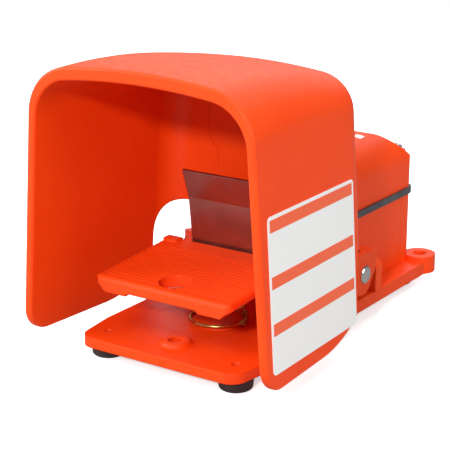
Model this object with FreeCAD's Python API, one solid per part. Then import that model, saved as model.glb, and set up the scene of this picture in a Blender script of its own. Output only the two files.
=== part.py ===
import FreeCAD
import Part
import math
import os

# Industrial foot switch: guarded treadle, toe latch and sealed switch housing.
# Lengths are millimetres. While it is drawn, Y counts rearwards from the front
# edge of the base plate, X is to the right and Z is up from the floor.
# write() then puts the origin under the middle of the whole object.

V = FreeCAD.Vector
X, Y, Z = V(1, 0, 0), V(0, 1, 0), V(0, 0, 1)

# Clearances, and how far a cutting tool or a root runs past the face that it meets
RUNNING_GAP = 0.05
SIDE_GAP = 0.6
SEAT_GAP = 0.3
SCREW_GAP = 0.2
PAST = 1.0

# Rubber feet and their screws
FOOT_HEIGHT = 8.0
FOOT_R = 10.4
FOOT_TAPER = 0.8
FOOT_EDGE_R = 2.2
FOOT_FRONT_X = 44.9
FOOT_FRONT_Y = 15.4
FOOT_REAR_X = 36.5
FOOT_REAR_INSET = 9.0
FOOT_SCREW_R = 2.4
FOOT_SCREW_HEAD_R = 4.2
FOOT_SCREW_HEAD_H = 2.4
FOOT_SCREW_SHORT = 1.5
FOOT_RECESS = 3.2
FOOT_RECESS_GAP = 1.0
FOOT_RECESS_EDGE_R = 0.6

# Treadle plate
TREADLE_HALF = 47.0
TREADLE_FRONT_Y = 6.0
TREADLE_FRONT_Z = 51.0
TREADLE_LENGTH = 72.6
TREADLE_SLOPE_DEG = 3.43
TREADLE_THICK = 7.2
TREADLE_LIP = 4.2
TREADLE_LIP_WIDTH = 3.6
TREADLE_RIB_DROP = 2.4
TREADLE_RIB_OUT_X = 39.5
TREADLE_RIB_IN_X = 25.5
TREADLE_RIB_DRAFT = 1.6
TREADLE_TOP_R = 1.8
TREADLE_FRONT_R = 2.8
TREADLE_LOW_R = 1.4
TREADLE_CORNER_R = 4.5
CORNER_PAD_WIDTH = 10.0
CORNER_PAD_LENGTH = 8.0
CORNER_PAD_RISE = 1.6
CORNER_PAD_R = 1.5
GROOVE_PITCH = 3.4
GROOVE_WIDTH = 1.5
GROOVE_DEPTH = 0.5
GROOVE_START = 6.5
GROOVE_END = 60.0
GROOVE_MARGIN = 3.6
ACCESS_HOLE_R = 9.5

# Set-backs, each from the piece in front of it, so that a longer treadle moves all that is behind it
SPRING_SETBACK = -14.5
LATCH_SETBACK = 7.5
GUARD_SETBACK = 27.7
HOUSING_SETBACK = 10.3
SHAFT_SETBACK = 16.0
STOP_SETBACK = 17.0
TREADLE_REAR_Y = TREADLE_FRONT_Y + TREADLE_LENGTH * math.cos(math.radians(TREADLE_SLOPE_DEG))
SPRING_Y = TREADLE_REAR_Y + SPRING_SETBACK
LATCH_PIN_Y = TREADLE_REAR_Y + LATCH_SETBACK
GUARD_BACK_Y = LATCH_PIN_Y + GUARD_SETBACK
HOUSING_FRONT_Y = GUARD_BACK_Y + HOUSING_SETBACK
SHAFT_Y = HOUSING_FRONT_Y + SHAFT_SETBACK

# Base casting: front plate, rear flange and mounting ears
PLATE_THICK = 6.2
PLATE_HALF = 58.8
PLATE_NOSE_HALF = 54.6
PLATE_NOSE_LENGTH = 32.0
PLATE_CORNER_R = 10.0
PLATE_SIDE_R = 12.0
PLATE_SETBACK = 6.0
FLANGE_HALF = 54.5
FLANGE_THICK = 8.2
FLANGE_OVERHANG = 4.0
EAR_X = 47.0
EAR_R = 10.6
EAR_INSET = 1.5
EAR_RISE = 3.3
EAR_HOLE_R = 4.4
FRONT_BOSS_Y = 20.9
FRONT_BOSS_R = 9.8
FRONT_BOSS_TOP_R = 8.0
FRONT_BOSS_RISE = 2.6
FRONT_BOSS_FOOT_R = 2.5
FRONT_BOSS_EDGE_R = 1.2
FRONT_HOLE_R = 4.4

# Switch housing, lower half cast with the base
HOUSING_HALF = 42.0
HOUSING_LENGTH = 107.0
HOUSING_TOP_Z = 63.0
HOUSING_WALL = 4.5
HOUSING_CORNER_R = 9.0
HOUSING_FLOOR = 5.5
CONDUIT_R = 10.3
CONDUIT_Z = 38.0
CONDUIT_HUB_R = 16.5
CONDUIT_HUB_LENGTH = 6.5

# Cover, gasket and cover screws
GASKET_THICK = 4.0
GASKET_PROUD = 1.5
GASKET_LAND = 7.0
COVER_TOP_Z = 105.6
COVER_WALL = 4.0
COVER_SIDE_R = 22.0
COVER_REAR_SLOPE = 29.0
COVER_REAR_SLOPE_Z = 84.0
COVER_REAR_LOW_R = 10.0
COVER_REAR_TOP_R = 12.0
COVER_FRONT_R = 12.0
COVER_SCREW_INSET = 9.5
COVER_SCREW_R = 2.4
COVER_SCREW_HEAD_R = 4.4
COVER_SCREW_HEAD_H = 3.4
COVER_SCREW_SLOT = 1.2
COVER_SCREW_SEAT_Z = 91.5
COVER_SCREW_GRIP = 14.0
COVER_SCREW_SHORT = 3.0
COVER_POST_R = 6.6
COVER_SPOT_R = 6.2
FRONT_POST_LENGTH = 18.5

# Pivot shaft of the treadle
SHAFT_Z = 32.8
SHAFT_R = 5.6
SHAFT_END_OUT = 1.0
SHAFT_CHAMFER = 0.7
BUSH_PROUD = 2.4
BUSH_WALL = 2.4
BUSH_LENGTH = 12.0
SHAFT_BOSS_R = 11.5
SEAL_SECTION = 2.6
SEAL_DEPTH = 2.0
SEAL_INSET = 1.3

# Treadle arms
ARM_THICK = 12.0
ARM_END_R = 12.6
ARM_TOP_Z = 46.8
ARM_HEEL = 14.0
ARM_HEEL_DRAFT = 1.4
ARM_HEEL_R = 2.5
ARM_END_FLAT = 3.0
ARM_ROOT = 6.0
ARM_ROOT_RISE = 4.0
ARM_ROOT_CLEAR = 0.4
ARM_KNEE = 34.0
ARM_KNEE_R = 14.0
ARM_NECK = 24.0
ARM_NECK_DROP = 5.0
ARM_LUG_UNDER = 3.0
ARM_LUG_LENGTH = 9.0
ARM_BEND_R = 10.0
ARM_PIN_R = 1.9
ARM_PIN_SHORT = 0.4
ARM_PIN_BELOW = 2.0
TREADLE_TRAVEL_DEG = 8.0

# Treadle stops and return spring
STOP_RIB_GAP = 1.6
STOP_RIB_THICK = 8.0
STOP_RIB_TOP_Z = 35.0
STOP_RIB_RISE = 4.0
STOP_RIB_OUT_X = 56.0
STOP_RIB_CORNER_R = 5.0
DOWN_STOP_X = 47.5
DOWN_STOP_R = 5.0
DOWN_STOP_EDGE_R = 1.0
DOWN_STOP_STEM_R = 2.2
SPRING_R = 17.0
SPRING_WIRE_R = 1.05
SPRING_END_PITCH = 2.4
SPRING_TURNS = 2.5
SPRING_BOSS_CLEAR = 0.8
SPRING_BOSS_RISE = 2.0
SPRING_SEAT_GAP = 0.05
WIRE_ARCS = 8

# Toe latch, a bent stainless plate on a cross pin behind the treadle
LATCH_HALF = 30.6
LATCH_SHEET = 1.6
LATCH_BEND_R = 1.6
LATCH_LIP_LEAN = 6.5
LATCH_LIP_HEIGHT = 18.1
LATCH_PANEL_LEAN = 1.6
LATCH_BEND_Z = 83.7
LATCH_FOOT_GAP = 2.0
LATCH_FOOT_DROP = 3.5
LATCH_PIN_Z = 50.0
LATCH_PIN_R = 2.5
LATCH_PIN_END = 2.2
LATCH_LUG_R = 4.6
LATCH_LUG_OUT_X = 38.2
LATCH_SIDE_GAP = 1.3
LATCH_SHOULDER = 4.0
LATCH_EAR_R = 5.5
LATCH_NOTCH_HALF = 12.0
LATCH_NOTCH_TOP = 2.5
LATCH_TAIL_IN_X = 20.0
LATCH_TAIL_OUT_X = 28.0
LATCH_TAIL_KNEE = 8.0
LATCH_TAIL_BEND = 15.5
LATCH_TAIL_SETBACK = 1.5
LATCH_TAIL_LEAN = 0.6
LATCH_TAIL_TIP_Z = 25.0
LATCH_CLIP_WIDTH = 2.0
LATCH_CLIP_THICK = 0.9
LATCH_SPRING_R = 3.4
LATCH_SPRING_WIRE_R = 0.55
LATCH_SPRING_TURNS = 4
LATCH_SPRING_LEG = 6.5
ANCHOR_HALF = 6.0
ANCHOR_GAP = 0.2
CATCH_RISE = 10.3
CATCH_GAP = 2.8
CATCH_MARGIN = 1.0

# Guard: one cast hood with a crowned roof, open to the front and below
GUARD_FRONT_Y = -13.7
GUARD_FLOOR_Z = 13.8
GUARD_HALF = 84.9
GUARD_TAPER = 0.060
GUARD_DRAFT = 0.0725
GUARD_WALL = 5.2
GUARD_ROOF = 6.9
GUARD_SHOULDER_Z = 172.2
GUARD_ROOF_SLOPE = 0.098
GUARD_ROOF_ARCH = 4.7
GUARD_CROWN_SLOPE = 0.105
GUARD_CROWN_SHARE = 0.96
GUARD_FRONT_SHOULDER_R = 30.3
GUARD_REAR_SHOULDER_R = 23.1
GUARD_SECTIONS = 5
GUARD_BACK_R = 20.8
GUARD_RIM_R = 1.3
GUARD_FRONT_CORNER_R = 15.0
GUARD_LEG_INSET = 18.3
GUARD_REAR_SWEEP_R = 93.0
GUARD_REAR_SWEEP_DEG = 26.5
GUARD_REAR_CORNER_R = 6.2
ARCH_TOP_Z = 71.5
ARCH_R = 23.0
PAD_THICK = 1.5
PAD_HALF_TOP = 36.0
PAD_HALF_LOW = 30.0
PAD_ABOVE_ARCH = 3.0
PAD_STEP_Z = 110.0
PAD_STEP_RUN = 3.5
PAD_TOP_Z = 138.0
PAD_LOW_R = 3.0
PAD_STEP_R = 2.0
PAD_TOP_R = 6.0

# Upright flange of the base that carries the guard, and the guard screws
TOWER_HALF = 34.0
TOWER_THICK = 7.0
TOWER_TOP_Z = 99.0
TOWER_CORNER_R = 8.0
TOWER_WEB_INSET = 4.0
TOWER_WEB_BELOW = 2.5
GUARD_SCREW_PITCH = 15.0
GUARD_SCREW_Z = 81.5
GUARD_SCREW_R = 3.0
GUARD_SCREW_HEAD_R = 5.0
GUARD_SCREW_HEAD_H = 4.0
GUARD_SCREW_SLOT = 1.4

# Snap switch, bracket and cam lever inside the housing
SWITCH_HALF = 8.7
SWITCH_LENGTH = 49.0
SWITCH_HEIGHT = 24.0
SWITCH_SETBACK = 8.5
SWITCH_BOTTOM_Z = 44.0
SWITCH_EDGE_R = 1.5
SWITCH_TOP_BEVEL = 6.0
PLUNGER_SETBACK = 18.0
PLUNGER_R = 2.2
PLUNGER_TIP_GAP = 0.5
PLUNGER_LENGTH = 11.0
PLUNGER_ROOM = 3.5
LEVER_HALF = 7.0
LEVER_HUB_R = 10.5
LEVER_TOP_ABOVE_SHAFT = 5.0
LEVER_HUB_CROWN = 4.0
LEVER_REACH = 26.0
LEVER_THICK = 7.0
LEVER_TIP_SHARE = 0.6
LEVER_ROOT_SHARE = 1.6
LEVER_ROOT = 2.0
LEVER_SCREW_PROUD = 0.3
BRACKET_SHEET = 2.0
BRACKET_FOOT = 18.0
BRACKET_SETBACK = 10.0
BRACKET_LENGTH = 45.0
BRACKET_LAP = 14.0
BRACKET_SCREW_FRONT = 12.0
BRACKET_SCREW_REAR = 8.0
SMALL_SCREW_R = 1.9
SMALL_HEAD_R = 3.4
SMALL_HEAD_H = 2.4
SMALL_SCREW_SLOT = 0.9
SMALL_SCREW_SHORT = 2.0
SWITCH_SCREW_PITCH = 22.0
SWITCH_SCREW_AHEAD = 4.0
SWITCH_SCREW_RISE = 5.0
TERMINAL_PITCH = 14.0
TERMINAL_DROP = 6.5
TERMINAL_GRIP = 4.0
GROUND_HEAD_R = 4.0
GROUND_INSET_X = 12.0
GROUND_INSET_Y = 22.0

# Heights and places that follow from the values above
PLATE_BOTTOM_Z = FOOT_HEIGHT
PLATE_TOP_Z = PLATE_BOTTOM_Z + PLATE_THICK
PLATE_END_Y = HOUSING_FRONT_Y - PLATE_SETBACK
FLANGE_TOP_Z = PLATE_BOTTOM_Z + FLANGE_THICK
EAR_TOP_Z = FLANGE_TOP_Z + EAR_RISE
HOUSING_REAR_Y = HOUSING_FRONT_Y + HOUSING_LENGTH
FLANGE_REAR_Y = HOUSING_REAR_Y + FLANGE_OVERHANG
EAR_Y = FLANGE_REAR_Y - EAR_INSET
CAVITY_FLOOR_Z = PLATE_BOTTOM_Z + HOUSING_FLOOR
COVER_BOTTOM_Z = HOUSING_TOP_Z + GASKET_THICK
BUSH_OUT_X = HOUSING_HALF + BUSH_PROUD
BUSH_R = SHAFT_R + BUSH_WALL
ARM_IN_X = BUSH_OUT_X + SIDE_GAP
ARM_OUT_X = ARM_IN_X + ARM_THICK
DOWN_STOP_Y = LATCH_PIN_Y + STOP_SETBACK
SEAL_R = SHAFT_R + RUNNING_GAP + SEAL_DEPTH
COVER_SCREW_X = HOUSING_HALF - COVER_SCREW_INSET
COVER_SCREWS = [(x, y) for x in (-COVER_SCREW_X, COVER_SCREW_X)
                for y in (HOUSING_FRONT_Y + COVER_SCREW_INSET, HOUSING_REAR_Y - COVER_SCREW_INSET)]
GUARD_SCREWS = [(n * GUARD_SCREW_PITCH, GUARD_SCREW_Z) for n in (-1.5, -0.5, 0.5, 1.5)]
SWITCH_FRONT_Y = SHAFT_Y + SWITCH_SETBACK
PLUNGER_Y = SHAFT_Y + PLUNGER_SETBACK
PLUNGER_BOTTOM_Z = SHAFT_Z + LEVER_TOP_ABOVE_SHAFT + PLUNGER_TIP_GAP
BRACKET_FRONT_Y = SHAFT_Y + BRACKET_SETBACK
FEET = {
    "front_left": (-FOOT_FRONT_X, FOOT_FRONT_Y),
    "front_right": (FOOT_FRONT_X, FOOT_FRONT_Y),
    "rear_left": (-FOOT_REAR_X, HOUSING_REAR_Y - FOOT_REAR_INSET),
    "rear_right": (FOOT_REAR_X, HOUSING_REAR_Y - FOOT_REAR_INSET),
}
MIDDLE_Y = (GUARD_FRONT_Y + EAR_Y + EAR_R) / 2

PLANES = {
    "xy": (lambda a, b: V(a, b, 0), Z),
    "yz": (lambda a, b: V(0, a, b), X),
    "xz": (lambda a, b: V(a, 0, b), Y),
}


def face(points, plane):
    """A flat face from (a, b) or (a, b, corner radius) points in the named plane."""
    place, _ = PLANES[plane]
    spots = [place(p[0], p[1]) for p in points]
    edges, ends = [], []
    for i, p in enumerate(points):
        corner = spots[i]
        radius = p[2] if len(p) > 2 else 0
        if radius == 0:
            ends.append((corner, corner))
            continue
        back = (spots[i - 1] - corner).normalize()
        ahead = (spots[(i + 1) % len(spots)] - corner).normalize()
        half = back.getAngle(ahead) / 2
        reach = radius / math.tan(half)
        middle = corner + (back + ahead).normalize() * (radius / math.sin(half) - radius)
        ends.append((corner + back * reach, corner + ahead * reach))
        edges.append((i, Part.Arc(ends[i][0], middle, ends[i][1]).toShape()))
    arcs = dict(edges)
    loop = []
    for i in range(len(points)):
        if i in arcs:
            loop.append(arcs[i])
        start, end = ends[i][1], ends[(i + 1) % len(points)][0]
        if start.distanceToPoint(end) > 1e-6:
            loop.append(Part.makeLine(start, end))
    return Part.Face(Part.Wire(loop))


def slab(points, plane, start, end):
    """A face of the named plane, drawn out along its normal from start to end."""
    _, normal = PLANES[plane]
    solid = face(points, plane).extrude(normal * (end - start))
    solid.translate(normal * start)
    return solid


def box_outline(half, front, rear, radius):
    return [(-half, front, radius), (half, front, radius), (half, rear, radius), (-half, rear, radius)]


def cylinder(radius, length, at, along):
    return Part.makeCylinder(radius, length, at, along)


def joined(shapes):
    whole = shapes[0].fuse(list(shapes[1:]))
    return whole.removeSplitter()


def cut(shape, tools):
    return shape.cut(list(tools))


def mirrored(shape):
    return shape.mirror(V(0, 0, 0), X)


def both_sides(shape):
    return [shape, mirrored(shape)]


def screw(at, along, radius, grip, head_r, head_h, slot):
    """A slotted screw whose head seats at the point at; its shank runs along the given way."""
    shank = cylinder(radius, grip, at, along)
    head = cylinder(head_r, head_h, at, along * -1)
    rim = [e for e in head.Edges if abs((e.BoundBox.Center - at) * along + head_h) < 1e-6]
    head = head.makeChamfer(head_h / 4, rim[:1])
    across = Y if abs(along * Y) < 0.5 else X
    blade = across.cross(along)
    corner = at - along * (head_h + PAST) - across * (head_r + PAST) - blade * (slot / 2)
    groove = oriented_box(corner, across, blade, along, (2 * (head_r + PAST), slot, PAST + head_h / 2))
    return cut(joined([shank, head]), [groove])


def oriented_box(corner, u, v, w, size):
    """A box from one corner with its sides along u, v and w."""
    a, b, c = size
    base = Part.Face(Part.makePolygon([corner, corner + u * a, corner + u * a + v * b,
                                       corner + v * b, corner]))
    return base.extrude(w * c)


def plate_outline():
    """Front plate: a slightly narrowed nose, then parallel sides back to the flange."""
    side = [(PLATE_NOSE_HALF, 0, PLATE_CORNER_R),
            (PLATE_HALF, PLATE_NOSE_LENGTH, PLATE_SIDE_R),
            (PLATE_HALF, PLATE_END_Y, PLATE_SIDE_R),
            (FLANGE_HALF, PLATE_END_Y + PLATE_SIDE_R, PLATE_SIDE_R / 2),
            (FLANGE_HALF, SHAFT_Y, 0)]
    return side + [(-p[0], p[1], p[2]) for p in reversed(side)]


def rear_flange():
    """Flange round the housing with a raised, bored ear at each rear corner."""
    front = PLATE_END_Y + PLATE_SIDE_R
    flange = slab(box_outline(FLANGE_HALF, front, FLANGE_REAR_Y, HOUSING_CORNER_R), "xy",
                  PLATE_BOTTOM_Z, FLANGE_TOP_Z)
    ears = [cylinder(EAR_R, EAR_TOP_Z - PLATE_BOTTOM_Z, V(x, EAR_Y, PLATE_BOTTOM_Z), Z)
            for x in (-EAR_X, EAR_X)]
    return [flange] + ears


def front_boss():
    """Low, blended boss round the front mounting hole."""
    foot = FRONT_BOSS_R + FRONT_BOSS_FOOT_R
    profile = face([(0, -PAST), (foot, -PAST), (foot, 0), (FRONT_BOSS_R, 0, FRONT_BOSS_FOOT_R),
                    (FRONT_BOSS_TOP_R, FRONT_BOSS_RISE, FRONT_BOSS_EDGE_R), (0, FRONT_BOSS_RISE)], "xz")
    boss = profile.revolve(V(0, 0, 0), Z, 360)
    boss.translate(V(0, FRONT_BOSS_Y, PLATE_TOP_Z))
    return boss


def spring_boss_r():
    return SPRING_R - SPRING_WIRE_R - SPRING_BOSS_CLEAR


def foot_holes():
    """Holes for the foot screws, through the plate and the flange."""
    return [cylinder(FOOT_SCREW_R, FLANGE_THICK + 2 * PAST, V(x, y, PLATE_BOTTOM_Z - PAST), Z)
            for x, y in FEET.values()]


def down_stop_stems():
    return [cylinder(DOWN_STOP_STEM_R, PLATE_THICK + PAST,
                     V(side * DOWN_STOP_X, DOWN_STOP_Y, PLATE_BOTTOM_Z), Z)
            for side in (-1, 1)]


def base_casting():
    """Front plate, floor of the housing, rear flange and ears."""
    plate = slab(plate_outline(), "xy", PLATE_BOTTOM_Z, PLATE_TOP_Z)
    locator = cylinder(spring_boss_r(), SPRING_BOSS_RISE + PAST, V(0, SPRING_Y, PLATE_TOP_Z - PAST), Z)
    body = joined([plate, front_boss(), locator] + rear_flange())
    holes = foot_holes() + down_stop_stems() + [housing_outline(CAVITY_FLOOR_Z, EAR_TOP_Z + PAST)]
    holes.append(cylinder(FRONT_HOLE_R, PLATE_THICK + FRONT_BOSS_RISE + 2 * PAST,
                          V(0, FRONT_BOSS_Y, PLATE_BOTTOM_Z - PAST), Z))
    holes += [cylinder(EAR_HOLE_R, EAR_TOP_Z + PAST, V(x, EAR_Y, 0), Z) for x in (-EAR_X, EAR_X)]
    holes += [cylinder(SMALL_SCREW_R, HOUSING_FLOOR, V(x, y, PLATE_BOTTOM_Z + PAST), Z)
              for x, y in bracket_screw_spots() + [ground_spot()]]
    return cut(body, holes)


def housing_outline(bottom, top):
    return slab(box_outline(HOUSING_HALF, HOUSING_FRONT_Y, HOUSING_REAR_Y, HOUSING_CORNER_R), "xy", bottom,
                top)


def cavity():
    """Room for the switch, less the cover posts in the corners and the shaft bosses."""
    room = slab(box_outline(HOUSING_HALF - HOUSING_WALL, HOUSING_FRONT_Y + HOUSING_WALL,
                            HOUSING_REAR_Y - HOUSING_WALL, HOUSING_CORNER_R - HOUSING_WALL), "xy",
                CAVITY_FLOOR_Z - PAST, HOUSING_TOP_Z + PAST)
    kept = []
    for x, y in COVER_SCREWS:
        bottom = HOUSING_TOP_Z - FRONT_POST_LENGTH if y < PLUNGER_Y else CAVITY_FLOOR_Z - PAST
        kept.append(cylinder(COVER_POST_R, HOUSING_TOP_Z + PAST - bottom, V(x, y, bottom), Z))
    for side in (-1, 1):
        start = V(side * (BUSH_OUT_X - BUSH_LENGTH), SHAFT_Y, SHAFT_Z)
        kept.append(cylinder(SHAFT_BOSS_R, BUSH_LENGTH, start, X * side))
    return room.cut(kept)


def tower():
    """Upright flange in front of the housing; the guard's back wall is screwed to it."""
    upright = slab([(-TOWER_HALF, PLATE_TOP_Z), (TOWER_HALF, PLATE_TOP_Z),
                    (TOWER_HALF, TOWER_TOP_Z, TOWER_CORNER_R),
                    (-TOWER_HALF, TOWER_TOP_Z, TOWER_CORNER_R)], "xz",
                   GUARD_BACK_Y, GUARD_BACK_Y + TOWER_THICK)
    web_half = TOWER_HALF - TOWER_WEB_INSET
    web = Part.makeBox(2 * web_half, HOUSING_SETBACK + PAST, HOUSING_TOP_Z - TOWER_WEB_BELOW - PLATE_TOP_Z,
                       V(-web_half, GUARD_BACK_Y, PLATE_TOP_Z))
    return [upright, web]


def heel_rib():
    """Rib behind the right arm, which stops the treadle at the top of its swing."""
    heel_y = SHAFT_Y + ARM_HEEL + STOP_RIB_GAP
    root = HOUSING_HALF - PAST
    return slab([(root, FLANGE_TOP_Z), (STOP_RIB_OUT_X, FLANGE_TOP_Z),
                 (STOP_RIB_OUT_X, STOP_RIB_TOP_Z, STOP_RIB_CORNER_R),
                 (root, STOP_RIB_TOP_Z + STOP_RIB_RISE)], "xz", heel_y, heel_y + STOP_RIB_THICK)


def latch_catch():
    """Rib in front of the tower whose front end the latch's right tail would meet."""
    front = tail_y() + LATCH_SHEET / 2 + CATCH_GAP
    return Part.makeBox(LATCH_TAIL_OUT_X - LATCH_TAIL_IN_X + 2 * CATCH_MARGIN, GUARD_BACK_Y + PAST - front,
                        CATCH_RISE,
                        V(LATCH_TAIL_IN_X - CATCH_MARGIN, front, PLATE_TOP_Z))


def housing_parts():
    """Housing walls, cut across just ahead of the rear cover posts into a front and a rear part."""
    walls = housing_outline(CAVITY_FLOOR_Z, HOUSING_TOP_Z).cut(cavity())
    seam_y = HOUSING_REAR_Y - COVER_SCREW_INSET - COVER_POST_R - PAST
    rear_side = Part.makeBox(2 * FLANGE_HALF, HOUSING_LENGTH, HOUSING_TOP_Z, V(-FLANGE_HALF, seam_y, 0))
    return walls.cut(rear_side), walls.common(rear_side)


def cover_screw_holes():
    return [cylinder(COVER_SCREW_R, COVER_SCREW_GRIP, V(x, y, HOUSING_TOP_Z - COVER_SCREW_GRIP + PAST), Z)
            for x, y in COVER_SCREWS]


def switch_housing():
    """Housing walls with front cover posts, shaft bosses, guard tower and the ribs."""
    bosses = [cylinder(SHAFT_BOSS_R, BUSH_PROUD + PAST, V(side * (HOUSING_HALF - PAST), SHAFT_Y, SHAFT_Z),
                       X * side)
              for side in (-1, 1)]
    ribs = both_sides(heel_rib()) + both_sides(latch_catch())
    body = joined([housing_parts()[0]] + bosses + tower() + ribs)
    holes = [cylinder(BUSH_R, BUSH_LENGTH + 2 * PAST, V(side * (BUSH_OUT_X + PAST), SHAFT_Y, SHAFT_Z),
                      X * -side)
             for side in (-1, 1)]
    holes += [cylinder(GUARD_SCREW_R, TOWER_THICK + HOUSING_SETBACK, V(x, GUARD_BACK_Y - PAST, z), Y)
              for x, z in GUARD_SCREWS]
    return cut(body, holes + cover_screw_holes())


def housing_rear():
    """Rear end of the housing with the rear cover posts and the conduit hub."""
    hub_length = CONDUIT_HUB_LENGTH + HOUSING_WALL
    hub_at = V(0, HOUSING_REAR_Y - HOUSING_WALL, CONDUIT_Z)
    body = joined([housing_parts()[1], cylinder(CONDUIT_HUB_R, hub_length, hub_at, Y)])
    return cut(body, [cylinder(CONDUIT_R, hub_length + 2 * PAST, hub_at - Y * PAST, Y)] + cover_screw_holes())


def swung(y, z, degrees):
    """Where a point of the treadle goes when its front is pressed down by degrees."""
    a = math.radians(degrees)
    dy, dz = y - SHAFT_Y, z - SHAFT_Z
    return SHAFT_Y + dy * math.cos(a) - dz * math.sin(a), SHAFT_Z + dy * math.sin(a) + dz * math.cos(a)


def down_stops():
    """Rubber bumpers just under the arms at the end of the travel, their stems in the plate."""
    edge = DOWN_STOP_R + 2 * PAST
    lowest = min(swung(y, arm_bottom_z(y), TREADLE_TRAVEL_DEG)[1]
                 for y in (DOWN_STOP_Y - edge, DOWN_STOP_Y + edge))
    height = lowest - SEAT_GAP - PLATE_TOP_Z
    profile = face([(0, 0), (DOWN_STOP_R, 0), (DOWN_STOP_R, height, DOWN_STOP_EDGE_R), (0, height)], "xz")
    bumpers = []
    for side, stem in zip((-1, 1), down_stop_stems()):
        bumper = profile.revolve(V(0, 0, 0), Z, 360)
        bumper.translate(V(side * DOWN_STOP_X, DOWN_STOP_Y, PLATE_TOP_Z))
        bumpers.append(joined([bumper, stem.common(slab(plate_outline(), "xy", PLATE_BOTTOM_Z,
                                                        PLATE_TOP_Z))]))
    return Part.makeCompound(bumpers)


def rubber_foot(x, y):
    """Round rubber foot with a rolled lower edge and a recess for its screw."""
    hole_r = FOOT_SCREW_R + SCREW_GAP
    recess_r = FOOT_SCREW_HEAD_R + FOOT_RECESS_GAP
    profile = face([(hole_r, FOOT_RECESS), (recess_r, FOOT_RECESS), (recess_r, 0, FOOT_RECESS_EDGE_R),
                    (FOOT_R - FOOT_TAPER, 0, FOOT_EDGE_R), (FOOT_R, FOOT_HEIGHT), (hole_r, FOOT_HEIGHT)],
                    "xz")
    foot = profile.revolve(V(0, 0, 0), Z, 360)
    foot.translate(V(x, y, 0))
    return foot


def foot_screws():
    """Pan-head screws that go up through each foot into the casting."""
    grip = FOOT_HEIGHT - FOOT_RECESS + PLATE_THICK - FOOT_SCREW_SHORT
    return Part.makeCompound([screw(V(x, y, FOOT_RECESS), Z, FOOT_SCREW_R, grip, FOOT_SCREW_HEAD_R,
                                    FOOT_SCREW_HEAD_H,
                                    SMALL_SCREW_SLOT) for x, y in FEET.values()])


def guard_half(y, z):
    """Half-width of the hood's outside at a depth and height."""
    return GUARD_HALF - GUARD_TAPER * (y - GUARD_FRONT_Y) - GUARD_DRAFT * (z - GUARD_FLOOR_Z)


def guard_section(y, wall, roof, low_z):
    """Closed section of the hood at depth y, taken in by wall at the sides and roof on top."""
    share = (y - GUARD_FRONT_Y) / (GUARD_BACK_Y - GUARD_FRONT_Y)
    arch = 4 * GUARD_ROOF_ARCH * share * (1 - share)
    shoulder = GUARD_SHOULDER_Z - GUARD_ROOF_SLOPE * (y - GUARD_FRONT_Y) + arch - roof
    low = guard_half(y, low_z) - wall
    high = guard_half(y, shoulder) - wall
    corner_r = GUARD_FRONT_SHOULDER_R + share * (GUARD_REAR_SHOULDER_R - GUARD_FRONT_SHOULDER_R) - wall
    crown_r = GUARD_CROWN_SHARE * (high - corner_r) / GUARD_CROWN_SLOPE
    section = face([(-low, low_z), (-high, shoulder, corner_r),
                    (0, shoulder + GUARD_CROWN_SLOPE * high, crown_r),
                    (high, shoulder, corner_r), (low, low_z)], "xz").OuterWire
    section.translate(V(0, y, 0))
    return section


def hood(front, back, wall, roof, low_z, back_r):
    """Solid hood lofted through sections between two depths, with its rear edges rolled over."""
    step = (back - front) / (GUARD_SECTIONS - 1)
    sections = [guard_section(front + n * step, wall, roof, low_z) for n in range(GUARD_SECTIONS)]
    block = Part.makeLoft(sections, True, False)
    rear = [e for e in block.Edges
            if all(abs(v.Point.y - back) < 1e-3 for v in e.Vertexes) and e.BoundBox.ZMax > low_z + PAST]
    return block.makeFillet(back_r, rear)


def guard_side_profile():
    """Side view of the hood: rolled front corner, swept rear corner and the rear arch."""
    turn = math.radians(GUARD_REAR_SWEEP_DEG)
    run = (GUARD_REAR_SWEEP_R * math.tan(turn / 2)
           + GUARD_REAR_CORNER_R * math.tan((math.pi / 2 - turn) / 2))
    leg_y = GUARD_BACK_Y - GUARD_LEG_INSET
    knee_y, leg_z = leg_y - run * math.cos(turn), GUARD_FLOOR_Z + run * math.sin(turn)
    top, back = 2 * GUARD_SHOULDER_Z, GUARD_BACK_Y + ARCH_R
    return slab([(GUARD_FRONT_Y, top), (GUARD_FRONT_Y, GUARD_FLOOR_Z, GUARD_FRONT_CORNER_R),
                 (knee_y, GUARD_FLOOR_Z, GUARD_REAR_SWEEP_R), (leg_y, leg_z, GUARD_REAR_CORNER_R),
                 (leg_y, ARCH_TOP_Z, ARCH_R), (back, ARCH_TOP_Z), (back, top)], "yz",
                -GUARD_HALF - PAST, GUARD_HALF + PAST)


def rim_edges(shell, profile):
    """Long edges of the hood's open rim, inside and outside, without those across the wall."""
    edges = []
    for edge in shell.Edges:
        middle = edge.valueAt((edge.FirstParameter + edge.LastParameter) / 2)
        on_rim = Part.Vertex(middle).distToShape(profile.Shells[0])[0] < 1e-3
        crosses = abs(edge.BoundBox.XLength - GUARD_WALL) < SIDE_GAP and edge.Length < GUARD_WALL + SIDE_GAP
        if on_rim and not crosses:
            edges.append(edge)
    return edges


def guard_pad():
    """Thickened pad on the inside of the back wall where the guard screws pull up."""
    inner = GUARD_BACK_Y - GUARD_WALL
    low, step = ARCH_TOP_Z + PAD_ABOVE_ARCH, PAD_STEP_Z
    side = [(PAD_HALF_LOW, low, PAD_LOW_R), (PAD_HALF_LOW, step - PAD_STEP_RUN, PAD_STEP_R),
            (PAD_HALF_TOP, step + PAD_STEP_RUN, PAD_STEP_R), (PAD_HALF_TOP, PAD_TOP_Z, PAD_TOP_R)]
    return slab(side + [(-p[0], p[1], p[2]) for p in reversed(side)], "xz", inner - PAD_THICK, inner + PAST)


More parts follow.
